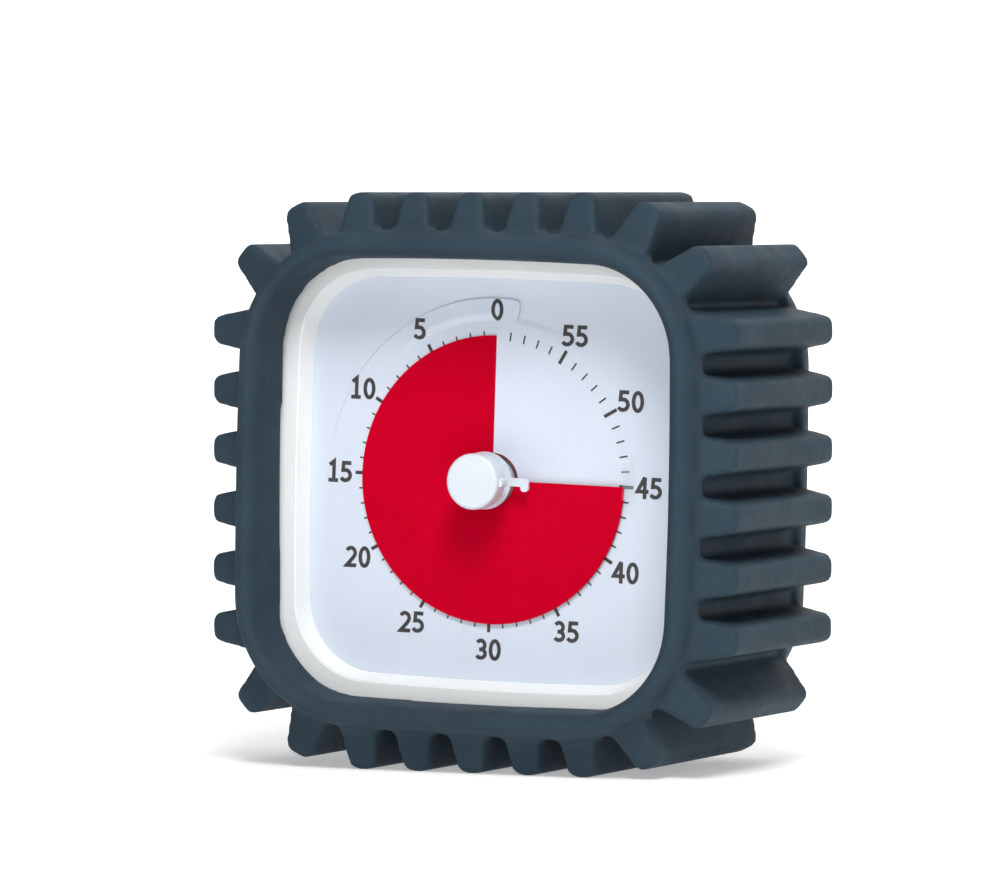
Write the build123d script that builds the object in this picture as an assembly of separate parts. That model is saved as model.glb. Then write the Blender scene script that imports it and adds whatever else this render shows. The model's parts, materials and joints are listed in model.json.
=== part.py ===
"""Sixty-minute visual countdown timer in a ribbed silicone cover.

Millimetres, +Z up. The dial faces -Y and the timer rests on its bottom ribs at z = 0.
A "depth" is the distance behind the cover's foremost rim, measured along +Y.
"""
import os
from math import cos, pi, radians, sin

from build123d import *

# --- cover -----------------------------------------------------------------------------
COVER_DEPTH = 59.0            # front rim to rear rim
RIM_HALF = 45.2               # half width of both rims at their widest
RIM_CORNER = 24.0             # corner radius of the rims
SIDE_BOW = 0.9                # how far every side bulges between its corners
VALLEY_HALF = 44.0            # half width between the ribs
OPENING_HALF = 40.0           # front opening at its narrow inner edge
OPENING_CORNER = 16.5
LIP_DEPTH = 10.9              # depth of the lip's back face, where the lens begins
REAR_OPENING_HALF = 37.5
CAVITY_HALF = 42.0
CAVITY_CORNER = 20.9
# The rims' rounded sides: depth, and share of the way from the opening to the outer edge.
RIM_PROFILE = [(0.0, 0.58), (0.5, 0.76), (1.6, 0.9), (3.4, 0.975), (5.5, 1.0)]
MOUTH_PROFILE = [(0.0, 0.42), (0.5, 0.25), (1.6, 0.12), (3.4, 0.05), (LIP_DEPTH, 0.0)]

RIB_PITCH = 10.85
RIB_REACH_X = 51.8            # centre line to a side rib's tip
RIB_REACH_Z = 52.2            # centre line to a top or bottom rib's tip
RIB_TIP_WIDTH = 4.9
RIB_ROOT_WIDTH = 8.6          # width where a rib starts, inside the valley wall
RIB_START = 41.0
RIB_FULL_DEPTHS = (7.0, 51.5)     # a rib has its full height between these depths
RIB_FOOT_DEPTHS = (4.3, 54.4)     # and runs out into the rims at these
RIB_TIP_ROUND = 1.7
RIB_FOOT_ROUND = 0.8
CORNER_RIB_CENTRE = 22.0      # the corner ribs fan out from this point
CORNER_RIB_REACH = 30.8
CORNER_RIB_ANGLES = (39.0, 65.0)

# --- lens, housing and dial --------------------------------------------------------------
HOUSING_HALF = 41.7
HOUSING_CORNER = 20.6
LENS_HALF = 41.4
LENS_BACK = 12.1
LENS_HOLE_RADIUS = 4.7
LENS_COLLAR = (5.9, 0.4)      # radius and height of the raised ring round the hole
RING_STEP_HALF = 37.9         # where the white ring's flat face steps down
RING_STEP_DEPTH = 12.4
WINDOW_HALF = 36.4            # visible half width of the dial
WINDOW_CORNER = 13.4
CARD_DEPTH = 15.9             # middle of the dial card
CARD_THICKNESS = 0.25
CARD_HALF = 37.1
CARD_HOLE_RADIUS = 4.9
POCKET_HALF = 37.3
SEAT_DEPTH = 16.05            # the backplate clamps the card from here on
PLATE_BACK = 19.7
PLATE_FLOOR = 17.7            # floor of the recess that the disc winds down into
JOIN_DEPTH = 36.0             # front and rear housings meet here
WALL = 3.0
REAR_WALL = (54.5, 56.5)
DIAL_TURN = 1.9               # the card and its scale sit turned clockwise by this much
INSERT_TURN = 1.3             # and so, by this much, do the housing and the cover's rims
INSERT_LIFT = 0.25            # the housing sits this much above the cover's middle

DISC_PITCH = 1.2              # rise of the winding disc in one turn
DISC_THICKNESS = 0.2
DISC_RADII = (4.6, 26.1)
DISC_STEP = 5                 # degrees between the facets of the disc and card
SET_ANGLE = 270               # red sector shown, counter-clockwise from the slit
FLAP_RADIUS = 32.8            # arc cut that frees the flap left of the slit
FLAP_ANGLE = 80
FLAP_DROP = 0.27              # how far the slit's two sides stand apart from the card
FLAT_RADIUS = 28.7            # the right side's bulge fades out beyond this
TAB_RADIUS = 28.5
TAB_ANGLES = (-5, 10)         # guide tab, either side of the disc's leading edge

# --- spindle ---------------------------------------------------------------------------
SHAFT_RADIUS = 1.5
SHAFT_DEPTHS = (8.0, 34.3)
KNOB_RADIUS = 5.05
KNOB_DEPTHS = (6.8, 10.2)
KNOB_NECK_RADIUS = 4.2
HUB_FACE = 12.35
HUB_FLANGE_RADIUS = 5.2
HUB_BARREL_RADIUS = 4.1
HUB_END = 17.5
ARM_WIDTH = 1.5
ARM_THICKNESS = 0.6
ARM_LENGTH = 8.7
HOOK_LENGTH = 0.9

# --- movement --------------------------------------------------------------------------
MODULE = 0.25
CASE_X = (-20.5, 16.5)
CASE_Z = (-26.5, 12.5)
CASE_DEPTHS = (19.8, 33.3)
CASE_COVER = (33.3, 34.9)
CASE_WALL = 1.6
WHEEL_LEVELS = {"centre": 31.3, "third": 28.3, "second": 25.3}
WHEEL_THICKNESS = 0.8
PINION_TEETH = 8
CENTRE_TEETH, THIRD_TEETH, SECOND_TEETH = 80, 60, 48
THIRD_ANGLE, SECOND_ANGLE, ROTOR_ANGLE = 200.0, -70.0, -10.0
ARBOR_RADIUS = 0.5
PIVOT_RADIUS = 0.35
BEARING_GAP = 0.05

CASE_POSTS = [(-17.4, 9.6), (13.4, 9.6), (13.4, -5.0)]
MOVEMENT_LUGS = [(-23.6, 6.0), (19.6, 6.0), (-2.0, -29.6)]
MOVEMENT_SCREW_TIP, COVER_SCREW_TIP = 18.3, 27.8
STATOR_X, STATOR_Z = (-5.0, 13.6), (-22.0, -9.2)
STATOR_WINDOW_X, STATOR_WINDOW_Z = (-2.4, 11.0), (-19.4, -16.9)
STATOR_DEPTHS = (28.3, 29.5)
ROTOR_RADIUS, ROTOR_DEPTHS = 2.9, (26.9, 30.5)
ALARM_CAM_RADIUS, ALARM_CAM_DEPTHS = 3.2, (22.3, 23.7)

# --- electrics ---------------------------------------------------------------------------
PCB_DEPTHS = (44.0, 45.2)
PCB_X, PCB_Z = (-30.0, 27.0), (3.0, 24.4)
BUZZER_PLACE, BUZZER_RADIUS = (-15.0, 15.5), 10.0
POT_PLACE = (14.0, 15.5)
VOLUME_KNOB_RADIUS, VOLUME_SHAFT_RADIUS = 6.4, 2.5
BATTERY_Z, BATTERY_DEPTH, BATTERY_RADIUS = -14.0, 46.6, 7.1
BATTERY_X = (-24.0, 25.0)
BAY_X, BAY_Z = (-29.6, 27.2), (-22.0, -6.0)
BAY_FLOOR = (37.6, 39.2)
DOOR_X, DOOR_Z = (-31.0, 31.0), (-23.6, -4.6)
DOOR_DEPTHS = (54.6, 56.4)
DOOR_GAP = 0.3
POST_PLACE = 28.8             # x and z of the four case screws
POST_RADIUS, POST_END = 3.3, 34.0
STRUT_END = 29.5

PCB_SCREWS = [(1.0, 22.0), (1.0, 6.2)]

CENTRE_Z = RIB_REACH_Z + INSERT_LIFT
FRONT_Y = -COVER_DEPTH / 2
CORNERS = [(sx, sz) for sx in (-1, 1) for sz in (-1, 1)]


# --- helpers -----------------------------------------------------------------------------
def facing(depth, x=0.0, z=0.0):
    """Plane at a depth, seen from the front: its x is X, its y is Z, its normal is -Y."""
    return Plane((x, FRONT_Y + depth, CENTRE_Z + z), x_dir=(1, 0, 0), z_dir=(0, -1, 0))


def slab(outline, near, far, x=0.0, z=0.0):
    """Extrude an outline from one depth to another."""
    return extrude(facing(far, x, z) * outline, amount=far - near)


def rod(radius, near, far, x=0.0, z=0.0):
    return slab(Circle(radius), near, far, x, z)


def brick(x_span, z_span, depths):
    width, height = x_span[1] - x_span[0], z_span[1] - z_span[0]
    return slab(Rectangle(width, height), *depths, x=sum(x_span) / 2, z=sum(z_span) / 2)


def soft_square(half, corner, turn=INSERT_TURN):
    """Square outline with bulging sides and rounded corners, turned clockwise."""
    end = half - SIDE_BOW
    points = [(end, -end), (end, end), (-end, end), (-end, -end)]
    middles = [(half, 0), (0, half), (-half, 0), (0, -half)]
    sides = [ThreePointArc(points[i], middles[i], points[(i + 1) % 4]) for i in range(4)]
    face = make_face(sides)
    return Rot(0, 0, -turn) * fillet(face.vertices(), corner)


def through(sections):
    """Solid with straight stretches through outlines, each given with its depth."""
    return loft([facing(depth) * outline for depth, outline in sections], ruled=True)


def flare(near_outline, near, far_outline, far):
    """Straight-sided solid between two outlines at two depths."""
    return through([(near, near_outline), (far, far_outline)])


def polar(radius, angle):
    """Dial coordinates: the angle runs counter-clockwise from 12 on the turned card."""
    turn = radians(angle + 90 - DIAL_TURN)
    return radius * cos(turn), radius * sin(turn)


def sheet(radii, angles, height, thickness):
    """Thin faceted sheet over a polar grid, standing height(r, angle) in front of the card."""
    def corner(r, angle, side):
        x, z = polar(r, angle)
        depth = CARD_DEPTH - height(r, angle) - side * thickness / 2
        return Vector(x, FRONT_Y + depth, CENTRE_Z + z)

    def facet(*points):
        return Face(Wire.make_polygon(points, close=True))

    faces = []
    cells = [(r0, r1, a0, a1) for r0, r1 in zip(radii, radii[1:]) for a0, a1 in zip(angles, angles[1:])]
    for r0, r1, a0, a1 in cells:
        for side in (1, -1):
            p, q = corner(r0, a0, side), corner(r1, a0, side)
            s, t = corner(r1, a1, side), corner(r0, a1, side)
            faces += [facet(p, q, s), facet(p, s, t)]
    borders = [((r, a0), (r, a1)) for r in (radii[0], radii[-1]) for a0, a1 in zip(angles, angles[1:])]
    borders += [((r0, a), (r1, a)) for a in (angles[0], angles[-1]) for r0, r1 in zip(radii, radii[1:])]
    for start, end in borders:
        faces.append(facet(corner(*start, 1), corner(*end, 1), corner(*end, -1), corner(*start, -1)))
    return Solid(Shell(faces))


def gear(teeth, near, thickness, x, z, turn=0.0):
    """Spur wheel with slim straight-flanked teeth."""
    pitch = teeth * MODULE / 2
    outer, root = pitch + 0.8 * MODULE, pitch - 1.25 * MODULE
    root_share, tip_share = 0.46, 0.16          # of one tooth's angle
    points = []
    for i in range(teeth):
        for radius, share in ((root, -root_share), (outer, -tip_share), (outer, tip_share), (root, root_share)):
            angle = radians(turn + (i + share / 2) * 360 / teeth)
            points.append((radius * cos(angle), radius * sin(angle)))
    return slab(make_face(Polyline(points, close=True)), near, near + thickness, x, z)


def turned(angle):
    """Rotation about the spindle axis that follows the turned card."""
    return Rot(0, 0, angle - DIAL_TURN)


# --- cover ---------------------------------------------------------------------------------
def rib(start, reach, root_width):
    """Rib outline along +x with a rounded tip."""
    outline = make_face(Polyline(
        (start, -root_width / 2), (reach, -RIB_TIP_WIDTH / 2),
        (reach, RIB_TIP_WIDTH / 2), (start, root_width / 2), close=True))
    tips = [v for v in outline.vertices() if v.X > reach - 0.01]
    return fillet(tips, RIB_TIP_ROUND)


def cover_outline():
    """Outline across the ribs: valleys, straight ribs and two fanned ribs in each corner."""
    side = rib(RIB_START, RIB_REACH_X, RIB_ROOT_WIDTH)
    top = rib(RIB_START, RIB_REACH_Z, RIB_ROOT_WIDTH)
    ribs = []
    for flip in (0, 180):
        ribs += [Rot(0, 0, flip) * Pos(0, (i + 0.5) * RIB_PITCH) * side for i in range(-3, 3)]
        ribs += [Rot(0, 0, 90 + flip) * Pos(0, i * RIB_PITCH) * top for i in range(-2, 3)]
    fan_start = CORNER_RIB_REACH - (RIB_REACH_Z - RIB_START)
    fan = rib(fan_start, CORNER_RIB_REACH, RIB_ROOT_WIDTH)
    for sx, sz in CORNERS:
        fan_centre = Pos(sx * CORNER_RIB_CENTRE, sz * CORNER_RIB_CENTRE)
        for angle in CORNER_RIB_ANGLES:
            mirrored = sz * (angle if sx > 0 else 180 - angle)
            ribs.append(fan_centre * Rot(0, 0, mirrored) * fan)
    valley = soft_square(VALLEY_HALF, RIM_CORNER - 1, turn=0)
    outline = valley + ribs
    own = [v.center() for v in valley.vertices()]
    feet = [v for v in outline.vertices()
            if valley.wires()[0].distance_to(v.center()) < 1e-3
            and min((v.center() - p).length for p in own) > 0.05]
    roomy = [v for v in feet
             if min((v.center() - w.center()).length for w in feet if w is not v) > 3 * RIB_FOOT_ROUND]
    return fillet(roomy, RIB_FOOT_ROUND)


def rim_outline(share):
    """Outline a share of the way from the front opening (0) to the rim's outer edge (1)."""
    half = OPENING_HALF + share * (RIM_HALF - OPENING_HALF)
    return soft_square(half, OPENING_CORNER + share * (RIM_CORNER - OPENING_CORNER))


def silicone_cover():
    """Sleeve with a rounded rim at both ends, ribs all round and a deep front opening."""
    foot_near, foot_far = RIB_FOOT_DEPTHS
    full_near, full_far = RIB_FULL_DEPTHS
    foot = soft_square(RIM_HALF - 0.1, RIM_CORNER)
    clear = soft_square(RIB_REACH_Z + 2.0, RIM_CORNER + 5.0)
    envelope = flare(foot, foot_near, clear, full_near) + slab(clear, full_near, full_far)
    envelope += flare(clear, full_far, foot, foot_far)
    ribs = slab(cover_outline(), foot_near, foot_far) & envelope

    outer = [(depth, rim_outline(share)) for depth, share in RIM_PROFILE]
    wide_depth = RIM_PROFILE[-1][0]
    outer.append((wide_depth + 1.2, rim_outline(1.0)))
    cover = through(outer) + ribs
    cover += through([(COVER_DEPTH - depth, outline) for depth, outline in outer])
    cover -= through([(depth, rim_outline(share)) for depth, share in MOUTH_PROFILE])
    cover -= slab(soft_square(CAVITY_HALF, CAVITY_CORNER), LIP_DEPTH, REAR_WALL[1] + 0.1)
    cover -= slab(soft_square(REAR_OPENING_HALF, OPENING_CORNER - 2), REAR_WALL[1], COVER_DEPTH + 1)
    return Pos(0, 0, -INSERT_LIFT) * cover


# --- lens, housings and dial ---------------------------------------------------------------
def front_lens():
    lens = slab(soft_square(LENS_HALF, HOUSING_CORNER - 0.3), LIP_DEPTH, LENS_BACK)
    collar_radius, collar_height = LENS_COLLAR
    lens += rod(collar_radius, LIP_DEPTH - collar_height, LIP_DEPTH)
    return lens - rod(LENS_HOLE_RADIUS, LIP_DEPTH - 1, LENS_BACK + 1)


def front_housing():
    """White ring round the dial, side walls and four screw posts."""
    outside = soft_square(HOUSING_HALF, HOUSING_CORNER)
    inside = soft_square(HOUSING_HALF - WALL, HOUSING_CORNER - WALL)
    step = soft_square(RING_STEP_HALF, WINDOW_CORNER + 1.5)
    throat = soft_square(RING_STEP_HALF - 0.3, WINDOW_CORNER + 1.2)
    window = soft_square(WINDOW_HALF, WINDOW_CORNER)
    pocket = soft_square(POCKET_HALF, WINDOW_CORNER + 1)
    pocket_depth = CARD_DEPTH - CARD_THICKNESS / 2 - 0.05
    housing = slab(outside, LENS_BACK, JOIN_DEPTH)
    housing -= slab(step, LENS_BACK, RING_STEP_DEPTH)
    housing -= flare(throat, RING_STEP_DEPTH, window, pocket_depth)
    housing -= slab(pocket, pocket_depth, SEAT_DEPTH)
    housing -= slab(inside, SEAT_DEPTH, JOIN_DEPTH)
    for sx, sz in CORNERS:
        x, z = sx * POST_PLACE, sz * POST_PLACE
        strut = slab(Rot(0, 0, 45 * sx * sz) * Rectangle(7, 2.4), SEAT_DEPTH, STRUT_END,
                     x=x + sx * 2.6, z=z + sz * 2.6)
        housing += rod(POST_RADIUS, SEAT_DEPTH, POST_END, x, z) + (strut & slab(outside, SEAT_DEPTH, STRUT_END))
        housing -= rod(1.5, 24.0, POST_END, x, z)
    return housing


def dial_backplate():
    """Floor behind the dial: clamps the card's edge and carries the movement."""
    plate = slab(soft_square(HOUSING_HALF - WALL - 0.2, HOUSING_CORNER - WALL - 0.2), SEAT_DEPTH, PLATE_BACK)
    plate -= rod(FLAP_RADIUS + 0.8, SEAT_DEPTH, PLATE_FLOOR)
    plate -= rod(2.2, PLATE_FLOOR, PLATE_BACK)
    for sx, sz in CORNERS:
        plate -= slab(Circle(POST_RADIUS + 0.3) + Rot(0, 0, 45 * sx * sz) * Pos(sx * 4, 0) * Rectangle(9, 3.0),
                      SEAT_DEPTH, PLATE_BACK, sx * POST_PLACE, sz * POST_PLACE)
    for x, z in MOVEMENT_LUGS:
        plate -= rod(1.05, MOVEMENT_SCREW_TIP - 0.2, PLATE_BACK, x, z)
    return plate


def card_height(radius, angle):
    """The card is flat but for the slit: its left side dips and its right side bulges."""
    if angle <= FLAP_ANGLE:
        return -FLAP_DROP * (1 - angle / FLAP_ANGLE)
    if angle < 360 - FLAP_ANGLE:
        return 0.0
    rise = FLAP_DROP * (angle - 360 + FLAP_ANGLE) / FLAP_ANGLE
    return rise if radius <= FLAT_RADIUS else 0.0


def dial_card():
    angles = list(range(0, 361, DISC_STEP))
    rim = make_face(Polyline([polar(FLAP_RADIUS, a) for a in angles[:-1]], close=True))
    half = CARD_THICKNESS / 2
    border = slab(soft_square(CARD_HALF, WINDOW_CORNER + 0.8), CARD_DEPTH - half, CARD_DEPTH + half)
    border -= slab(rim, CARD_DEPTH - 1, CARD_DEPTH + 1)
    dial = sheet([CARD_HOLE_RADIUS, FLAT_RADIUS, FLAP_RADIUS], angles, card_height, CARD_THICKNESS)
    kerf = 0.25
    ring = [polar(FLAP_RADIUS + kerf, a) for a in range(0, FLAP_ANGLE + 1, DISC_STEP)]
    ring += [polar(FLAP_RADIUS, a) for a in range(FLAP_ANGLE, -1, -DISC_STEP)]
    border -= slab(make_face(Polyline(ring, close=True)), CARD_DEPTH - 1, CARD_DEPTH + 1)
    return border + dial


def disc_height(radius, angle):
    return DISC_PITCH * angle / 360


def red_disc():
    angles = list(range(SET_ANGLE - 360, SET_ANGLE + 1, DISC_STEP))
    return sheet(list(DISC_RADII), angles, disc_height, DISC_THICKNESS)


def disc_guide_tab():
    angles = list(range(SET_ANGLE + TAB_ANGLES[0], SET_ANGLE + TAB_ANGLES[1] + 1, DISC_STEP))
    return sheet([DISC_RADII[1], TAB_RADIUS], angles, disc_height, DISC_THICKNESS)


def rear_housing():
    """Back half: spigot that clamps the backplate, battery bay, bosses and openings."""
    outside = soft_square(HOUSING_HALF, HOUSING_CORNER)
    spigot = soft_square(HOUSING_HALF - WALL - 0.2, HOUSING_CORNER - WALL - 0.2)
    inside = soft_square(HOUSING_HALF - WALL - 1.8, HOUSING_CORNER - WALL - 1.8)
    housing = slab(outside, JOIN_DEPTH, REAR_WALL[1]) + slab(spigot, 30.0, JOIN_DEPTH)
    housing -= slab(inside, 30.0, REAR_WALL[0])
    rear_edges = [e for e in housing.edges() if abs(e.center().Y - FRONT_Y - REAR_WALL[1]) < 0.01]
    housing = fillet(rear_edges, 1.0)
    bay_wall = 1.5
    wide_x = (DOOR_X[0] - bay_wall, DOOR_X[1] + bay_wall)
    wide_z = (DOOR_Z[0] - bay_wall, DOOR_Z[1] + bay_wall)
    housing += brick(wide_x, wide_z, (BAY_FLOOR[0], REAR_WALL[0]))
    housing -= brick(BAY_X, BAY_Z, (BAY_FLOOR[1], REAR_WALL[1]))
    gap = DOOR_GAP
    door_x = (DOOR_X[0] - gap, DOOR_X[1] + gap)
    door_z = (DOOR_Z[0] - gap, DOOR_Z[1] + gap)
    housing -= brick(door_x, door_z, (DOOR_DEPTHS[0] - 0.1, REAR_WALL[1]))
    housing -= along_x(DOOR_PIN_RADIUS + BEARING_GAP, (DOOR_X[0] - 2, DOOR_X[1] + 2),
                       DOOR_AXIS_DEPTH, DOOR_AXIS_Z)
    for x in (BAY_X[0] + 0.1, BATTERY_X[1] + 0.9):
        housing -= brick((x - 0.1, x + 0.7), (BAY_Z[1] - 1, wide_z[1] + 0.5), (45.0, 48.2))
    for sx, sz in CORNERS:
        x, z = sx * POST_PLACE, sz * POST_PLACE
        housing += rod(4.2, 34.1, REAR_WALL[0], x, z) & slab(spigot, 34.1, REAR_WALL[0])
        housing -= rod(1.7, 34.0, REAR_WALL[1], x, z) + rod(3.1, 50.0, REAR_WALL[1] + 1, x, z)
    for x, z in PCB_SCREWS:
        housing += rod(2.4, PCB_DEPTHS[1], REAR_WALL[0], x, z)
        housing -= rod(1.1, PCB_DEPTHS[1], 50.0, x, z)
    housing -= rod(VOLUME_SHAFT_RADIUS + BEARING_GAP, REAR_WALL[0] - 1, REAR_WALL[1] + 1, *POT_PLACE)
    for x, z in grille_holes():
        housing -= rod(0.8, REAR_WALL[0] - 1, REAR_WALL[1] + 1, x, z)
    return housing


def grille_holes():
    """Sound holes in rings over the buzzer."""
    bx, bz = BUZZER_PLACE
    holes = [(bx, bz)]
    for ring_radius, count in ((3.0, 6), (6.0, 12)):
        holes += [(bx + ring_radius * cos(2 * pi * i / count), bz + ring_radius * sin(2 * pi * i / count))
                  for i in range(count)]
    return holes


# --- battery door --------------------------------------------------------------------------
DOOR_AXIS_DEPTH = sum(DOOR_DEPTHS) / 2
DOOR_AXIS_Z = DOOR_Z[0] + 0.9
DOOR_PIN_RADIUS = 0.6


def along_x(radius, x_span, depth, z):
    plane = Plane((x_span[0], FRONT_Y + depth, CENTRE_Z + z), x_dir=(0, 1, 0), z_dir=(1, 0, 0))
    return extrude(plane * Circle(radius), amount=x_span[1] - x_span[0])


def battery_door():
    door = brick(DOOR_X, (DOOR_AXIS_Z, DOOR_Z[1]), DOOR_DEPTHS)
    outer_edges = door.edges().group_by(Axis.Y)[-1].sort_by(Axis.Z)[1:]
    door = fillet(outer_edges, 0.4)
    door += along_x(0.9, DOOR_X, DOOR_AXIS_DEPTH, DOOR_AXIS_Z)
    door += along_x(DOOR_PIN_RADIUS, (DOOR_X[0] - 1.2, DOOR_X[1] + 1.2), DOOR_AXIS_DEPTH, DOOR_AXIS_Z)
    grip = slab(RectangleRounded(14, 2.2, 1.0), DOOR_DEPTHS[1] - 0.8, DOOR_DEPTHS[1], 0, DOOR_Z[1] - 2.6)
    return door - grip


# --- spindle ---------------------------------------------------------------------------------
def knob():
    near, far = KNOB_DEPTHS
    body = rod(KNOB_RADIUS, near, far)
    body = fillet([e for e in body.edges() if abs(e.center().Y - FRONT_Y - near) < 0.01], 0.7)
    pointer = Pos(KNOB_RADIUS - 0.7, 0) * RectangleRounded(2.4, ARM_WIDTH, 0.5)
    body += slab(turned(SET_ANGLE + 90) * pointer, near + 1.2, far)
    body += rod(KNOB_NECK_RADIUS, far, HUB_FACE)
    return body - rod(SHAFT_RADIUS + 0.02, SHAFT_DEPTHS[0], HUB_FACE)


def disc_hub():
    """Flange and barrel that carry the disc, with the arm and hook that push its leading edge."""
    arm_far = HUB_FACE + ARM_THICKNESS
    hub = rod(HUB_FLANGE_RADIUS, HUB_FACE, arm_far) + rod(HUB_BARREL_RADIUS, arm_far, HUB_END)
    arm = Pos(ARM_LENGTH / 2, 0) * RectangleRounded(ARM_LENGTH, ARM_WIDTH, 0.5)
    hook_height = HOOK_LENGTH + ARM_WIDTH / 2
    hook = Pos(ARM_LENGTH - ARM_WIDTH / 2, -hook_height / 2) * RectangleRounded(ARM_WIDTH, hook_height, 0.7)
    set_turn = turned(SET_ANGLE + 90)
    hub += slab(set_turn * (arm + hook), HUB_FACE, arm_far)
    return hub - rod(SHAFT_RADIUS + 0.02, HUB_FACE, HUB_END)


def spindle_shaft():
    return rod(SHAFT_RADIUS, *SHAFT_DEPTHS)


def alarm_cam():
    """Ring with one notch that lets the contact close at zero."""
    notch = turned(SET_ANGLE) * Pos(0, ALARM_CAM_RADIUS) * Rectangle(1.2, 1.6)
    return slab(Circle(ALARM_CAM_RADIUS) - Circle(SHAFT_RADIUS + 0.02) - notch, *ALARM_CAM_DEPTHS)


def centre_wheel():
    near = WHEEL_LEVELS["centre"]
    return gear(CENTRE_TEETH, near, WHEEL_THICKNESS, 0, 0) - rod(SHAFT_RADIUS + 0.02, near, near + 1)


def clutch_spring():
    near = WHEEL_LEVELS["centre"] - 0.35
    return rod(4.2, near, near + 0.35) - rod(SHAFT_RADIUS + 0.02, near, near + 1)


def clutch_collar():
    near = WHEEL_LEVELS["centre"] - 1.55
    return rod(2.8, near, near + 1.2) - rod(SHAFT_RADIUS + 0.02, near, near + 2)


def retaining_ring():
    near = WHEEL_LEVELS["centre"] + WHEEL_THICKNESS
    ring = Circle(2.7) - Circle(SHAFT_RADIUS + 0.02) - Pos(0, -2.2) * Rectangle(1.2, 2.4)
    return slab(ring, near, near + 0.5)


# --- wheel train -----------------------------------------------------------------------------
def step_from(point, teeth, angle):
    """Place of the next arbor: one meshing distance away at an angle."""
    distance = (teeth + PINION_TEETH) * MODULE / 2
    return (point[0] + distance * cos(radians(angle)), point[1] + distance * sin(radians(angle)))


THIRD = step_from((0.0, 0.0), CENTRE_TEETH, THIRD_ANGLE)
SECOND = step_from(THIRD, THIRD_TEETH, SECOND_ANGLE)
ROTOR = step_from(SECOND, SECOND_TEETH, ROTOR_ANGLE)


def mesh_turn(direction, driver_teeth, driver_turn):
    """Turn of a pinion whose tooth gap faces the driver's tooth along their centre line."""
    phase = (direction - driver_turn) * driver_teeth / 360
    return direction + 180 - (0.5 - phase) * 360 / PINION_TEETH


THIRD_TURN = mesh_turn(THIRD_ANGLE, CENTRE_TEETH, 0)
SECOND_TURN = mesh_turn(SECOND_ANGLE, THIRD_TEETH, THIRD_TURN)
ROTOR_TURN = mesh_turn(ROTOR_ANGLE, SECOND_TEETH, SECOND_TURN)


def arbor(place):
    near, far = CASE_DEPTHS[0] + CASE_WALL, CASE_DEPTHS[1]
    return rod(ARBOR_RADIUS, near + 0.1, far - 0.1, *place) + rod(PIVOT_RADIUS, near - 0.8, far + 0.8, *place)


def train_wheel(place, turn, pinion_level, wheel_level, teeth):
    wheel = arbor(place) + gear(PINION_TEETH, pinion_level - 0.1, WHEEL_THICKNESS + 0.2, *place, turn)
    return wheel + gear(teeth, wheel_level, WHEEL_THICKNESS, *place, turn)


def third_wheel():
    levels = WHEEL_LEVELS
    return train_wheel(THIRD, THIRD_TURN, levels["centre"], levels["third"], THIRD_TEETH)


def second_wheel():
    levels = WHEEL_LEVELS
    return train_wheel(SECOND, SECOND_TURN, levels["third"], levels["second"], SECOND_TEETH)


def rotor_pinion():
    near = WHEEL_LEVELS["second"] - 0.1
    return arbor(ROTOR) + gear(PINION_TEETH, near, WHEEL_THICKNESS + 0.2, *ROTOR, ROTOR_TURN)


def rotor_magnet():
    return rod(ROTOR_RADIUS, *ROTOR_DEPTHS, *ROTOR) - rod(ARBOR_RADIUS, *ROTOR_DEPTHS, *ROTOR)


# --- movement case and motor -----------------------------------------------------------------
def bearings():
    """Running bores for the spindle and the three arbors."""
    near, far = CASE_DEPTHS[0], CASE_COVER[1]
    bores = rod(SHAFT_RADIUS + BEARING_GAP, near, far)
    for place in (THIRD, SECOND, ROTOR):
        bores += rod(PIVOT_RADIUS + BEARING_GAP, near + 0.5, far - 0.5, *place)
    return bores


def movement_case():
    near, far = CASE_DEPTHS
    case = brick(CASE_X, CASE_Z, CASE_DEPTHS)
    inner_x = (CASE_X[0] + CASE_WALL, CASE_X[1] - CASE_WALL)
    inner_z = (CASE_Z[0] + CASE_WALL, CASE_Z[1] - CASE_WALL)
    case -= brick(inner_x, inner_z, (near + CASE_WALL, far))
    for x, z in MOVEMENT_LUGS:
        reach = (min(max(x, CASE_X[0] + 1), CASE_X[1] - 1), min(max(z, CASE_Z[0] + 1), CASE_Z[1] - 1))
        bridge = brick(sorted((x, reach[0])) if x != reach[0] else (x - 3, x + 3),
                       sorted((z, reach[1])) if z != reach[1] else (z - 3, z + 3), (near, near + 2))
        case += rod(3.0, near, near + 2, x, z) + bridge
        case -= rod(1.1, near, near + 2, x, z)
    for x, z in CASE_POSTS:
        case += rod(1.9, near + CASE_WALL, far, x, z)
        case -= rod(0.85, COVER_SCREW_TIP - 0.5, far, x, z)
    for x in (STATOR_X[0] + 1.3, STATOR_X[1] - 1.3):
        case += rod(1.2, near + CASE_WALL, STATOR_DEPTHS[0], x, STATOR_Z[0] + 1.3)
    return case - bearings()


def movement_cover():
    cover = brick(CASE_X, CASE_Z, CASE_COVER)
    for x, z in CASE_POSTS:
        cover -= rod(0.85, *CASE_COVER, x, z)
    return cover - bearings()


def stator():
    plate = brick(STATOR_X, STATOR_Z, STATOR_DEPTHS)
    plate -= brick(STATOR_WINDOW_X, STATOR_WINDOW_Z, STATOR_DEPTHS)
    return plate - rod(ROTOR_RADIUS + 0.4, *STATOR_DEPTHS, *ROTOR)


def coil_section(grow, x_span):
    """Square-section sleeve round the stator's lower leg."""
    z_span = (STATOR_Z[0] - grow, STATOR_WINDOW_Z[0] + grow)
    return brick(x_span, z_span, (STATOR_DEPTHS[0] - grow, STATOR_DEPTHS[1] + grow))


def coil_bobbin():
    x0, x1 = STATOR_WINDOW_X
    bobbin = coil_section(0.5, (x0, x1)) + coil_section(2.2, (x0, x0 + 0.8)) + coil_section(2.2, (x1 - 0.8, x1))
    return bobbin - coil_section(0.0, (x0, x1))


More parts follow.
